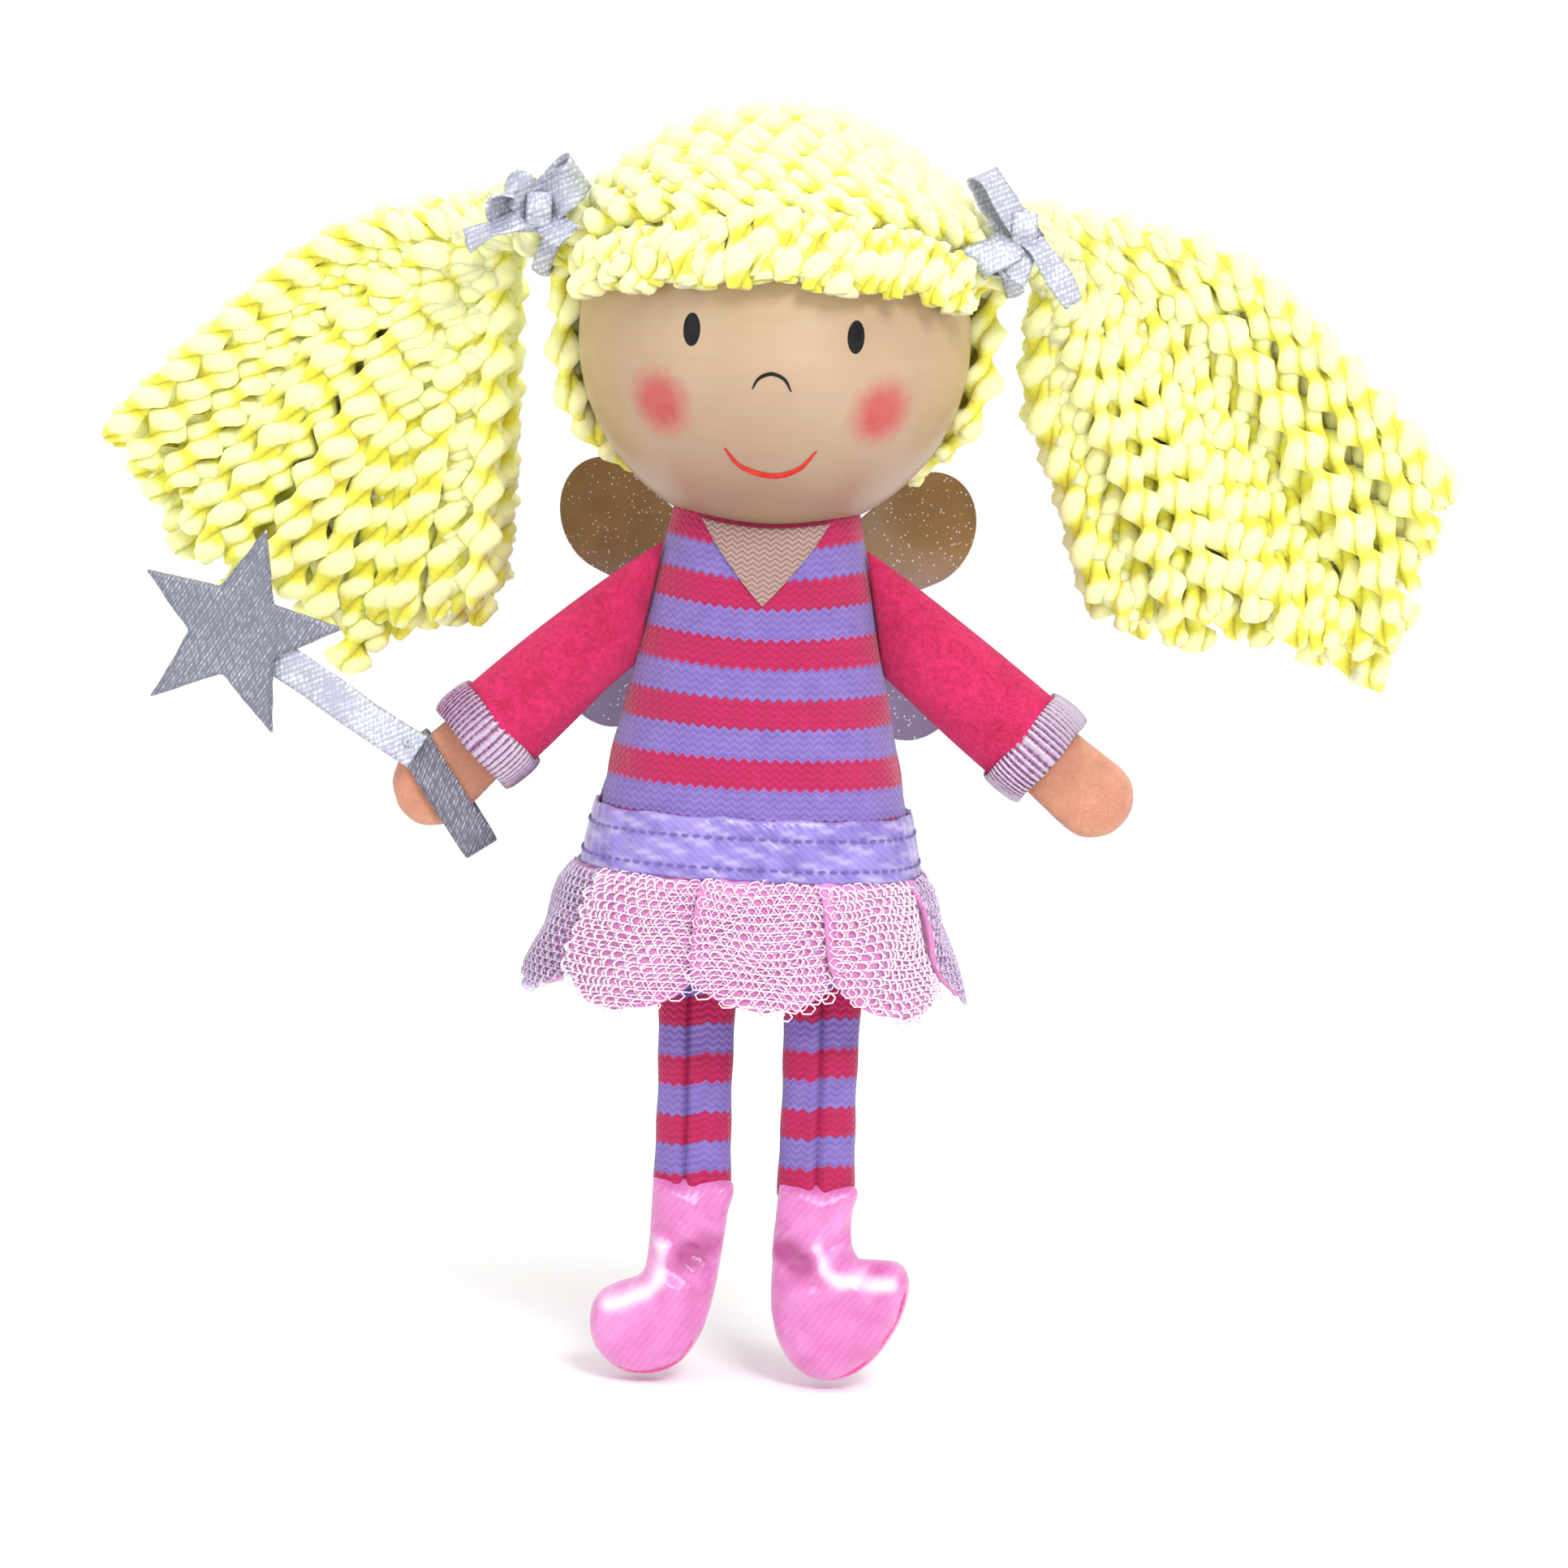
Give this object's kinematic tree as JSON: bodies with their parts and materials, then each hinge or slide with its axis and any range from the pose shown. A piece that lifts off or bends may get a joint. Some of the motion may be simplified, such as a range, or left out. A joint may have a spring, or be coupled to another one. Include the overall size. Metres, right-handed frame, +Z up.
{
  "type": "finger puppet",
  "caption": "Fairy finger puppet: painted ball head with a blind finger hole, yarn pigtails, fabric sleeve, hinged arms, legs, wings and ribbon wand.",
  "frame": {"origin": "centre of the finger hole's mouth on the underside of the head ball", "axes": "+Z up along the finger hole into the head, the face looks along -Y, +X is the puppet's own left"},
  "size_m": [0.1576, 0.0525, 0.1446],
  "materials": {
    "painted_wood": "satin painted turned wood",
    "yarn": "chunky two-ply yarn with a fine glitter thread",
    "silver_ribbon": "woven silver lurex ribbon",
    "striped_webbing": "herringbone webbing in pink and purple stripes",
    "beige_webbing": "beige herringbone webbing",
    "satin_tape": "purple satin tape, stitched twice",
    "felt_and_mesh": "pink felt under pale hexagonal mesh",
    "fleece": "hot pink brushed fleece",
    "lurex_cuff": "silver and lilac lurex rib",
    "hand_felt": "peach felt",
    "silver_lame": "silver lame cloth",
    "boot_satin": "pink satin",
    "stuffing": "loose polyester stuffing, modelled solid",
    "wing_film": "tinted glitter film, see-through",
    "thread": "sewing thread"
  },
  "bodies": {
    "head": {"head_ball": "painted_wood", "hair_top": "yarn", "hair_fringe": "yarn", "hair_back": "yarn", "left_bunch": "yarn", "right_bunch": "yarn", "left_tie": "silver_ribbon", "right_tie": "silver_ribbon", "left_bow": "silver_ribbon", "right_bow": "silver_ribbon"},
    "left_pigtail": {"left_pigtail": "yarn"},
    "right_pigtail": {"right_pigtail": "yarn"},
    "torso": {"sleeve_front": "striped_webbing", "sleeve_back": "striped_webbing", "neck_insert": "beige_webbing", "hem_tape": "satin_tape", "wing_seam": "thread", "petal_1": "felt_and_mesh", "petal_2": "felt_and_mesh", "petal_3": "felt_and_mesh", "petal_4": "felt_and_mesh", "petal_5": "felt_and_mesh", "petal_6": "felt_and_mesh", "petal_7": "felt_and_mesh", "petal_8": "felt_and_mesh", "petal_9": "felt_and_mesh", "left_shoulder_seam": "fleece", "right_shoulder_seam": "fleece"},
    "left_arm": {"left_arm": "fleece", "left_arm_filling": "stuffing", "left_cuff": "lurex_cuff", "left_hand": "hand_felt"},
    "right_arm": {"right_arm": "fleece", "right_arm_filling": "stuffing", "right_cuff": "lurex_cuff", "right_hand": "hand_felt", "hand_strap": "silver_ribbon", "wand_stitch": "thread"},
    "wand": {"wand_ribbon": "silver_ribbon", "wand_star": "silver_lame"},
    "left_leg": {"left_leg": "striped_webbing", "left_leg_filling": "stuffing"},
    "right_leg": {"right_leg": "striped_webbing", "right_leg_filling": "stuffing"},
    "left_boot": {"left_boot": "boot_satin", "left_boot_filling": "stuffing"},
    "right_boot": {"right_boot": "boot_satin", "right_boot_filling": "stuffing"},
    "left_wing": {"left_wing": "wing_film"},
    "right_wing": {"right_wing": "wing_film"}
  },
  "joints": [
    {"name": "neck_nod", "type": "hinge", "parent": "head", "child": "torso", "pos_m": [0, 0, -0.001], "axis": [1, 0, 0], "range_deg": [-10, 6]},
    {"name": "left_pigtail_lift", "type": "hinge", "parent": "head", "child": "left_pigtail", "pos_m": [0.03231, 0, 0.03427], "axis": [0, -1, 0], "range_deg": [-3, 30], "stiffness_Nm_per_rad": 0.08},
    {"name": "right_pigtail_lift", "type": "hinge", "parent": "head", "child": "right_pigtail", "pos_m": [-0.03231, 0, 0.03427], "axis": [0, 1, 0], "range_deg": [-3, 30], "stiffness_Nm_per_rad": 0.08},
    {"name": "left_arm_raise", "type": "hinge", "parent": "torso", "child": "left_arm", "pos_m": [0.01766, -0.003, -0.013], "axis": [0, -1, 0], "range_deg": [-12, 40], "stiffness_Nm_per_rad": 0.04},
    {"name": "right_arm_raise", "type": "hinge", "parent": "torso", "child": "right_arm", "pos_m": [-0.01766, -0.003, -0.013], "axis": [0, 1, 0], "range_deg": [-12, 40], "stiffness_Nm_per_rad": 0.04},
    {"name": "wand_swing", "type": "hinge", "parent": "right_arm", "child": "wand", "pos_m": [-0.03969, -0.0055, -0.02718], "axis": [0, 1, 0], "range_deg": [-20, 20], "stiffness_Nm_per_rad": 0.004},
    {"name": "left_leg_swing", "type": "hinge", "parent": "torso", "child": "left_leg", "pos_m": [0.0088, -0.0094, -0.0387], "axis": [-1, 0, 0], "range_deg": [-30, 22]},
    {"name": "right_leg_swing", "type": "hinge", "parent": "torso", "child": "right_leg", "pos_m": [-0.0056, -0.0094, -0.0387], "axis": [-1, 0, 0], "range_deg": [-30, 22]},
    {"name": "left_ankle", "type": "hinge", "parent": "left_leg", "child": "left_boot", "pos_m": [0.0088, -0.0094, -0.0771], "axis": [0, -1, 0], "range_deg": [-12, 20], "stiffness_Nm_per_rad": 0.004},
    {"name": "right_ankle", "type": "hinge", "parent": "right_leg", "child": "right_boot", "pos_m": [-0.0056, -0.0094, -0.0771], "axis": [0, 1, 0], "range_deg": [-12, 20], "stiffness_Nm_per_rad": 0.004},
    {"name": "left_wing_flap", "type": "hinge", "parent": "torso", "child": "left_wing", "pos_m": [0.0013, 0.01048, -0.00827], "axis": [0, -0.1794, 0.9838], "range_deg": [0, 40], "stiffness_Nm_per_rad": 0.002},
    {"name": "right_wing_flap", "type": "hinge", "parent": "torso", "child": "right_wing", "pos_m": [-0.0013, 0.01048, -0.00827], "axis": [0, 0.1794, -0.9838], "range_deg": [0, 40], "stiffness_Nm_per_rad": 0.002}
  ]
}
